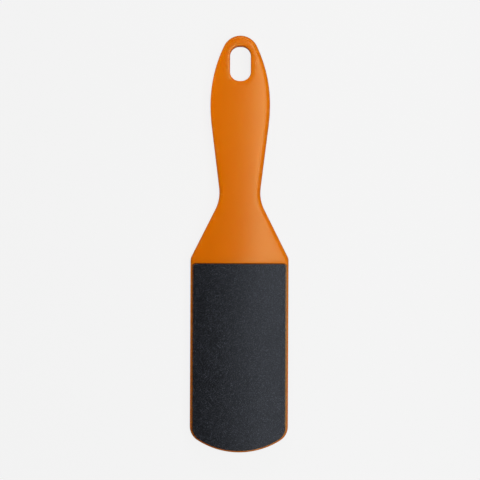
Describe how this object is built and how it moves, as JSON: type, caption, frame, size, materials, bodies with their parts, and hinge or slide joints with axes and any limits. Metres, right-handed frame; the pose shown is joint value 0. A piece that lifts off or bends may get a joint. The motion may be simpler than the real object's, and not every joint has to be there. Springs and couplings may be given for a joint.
{
  "type": "foot file",
  "caption": "Crowned plastic paddle with a round-nosed handle, a hang slot and abrasive sheets bonded into both faces of its blade, for filing hard skin off feet.",
  "frame": {"origin": "on the surface that the file lies on, below the middle of its length and width", "axes": "+Z is the normal of the front face, which has the coarse sheet; +Y runs from the blade to the nose of the handle; +X is to the right as the front face is seen with the handle up"},
  "size_m": [0.0494, 0.21, 0.0085],
  "materials": {
    "satin_plastic": "satin, slightly translucent orange",
    "adhesive_film": "amber pressure-sensitive film",
    "backing_paper": "dark heavy paper, cut edge",
    "coarse_grit": "coarse blue-black grit in resin",
    "fine_grit": "fine blue-black grit in resin"
  },
  "bodies": {
    "root": {"paddle_base": "satin_plastic", "front_adhesive": "adhesive_film", "front_backing": "backing_paper", "front_grit": "coarse_grit", "rear_adhesive": "adhesive_film", "rear_backing": "backing_paper", "rear_grit": "fine_grit"}
  },
  "joints": []
}
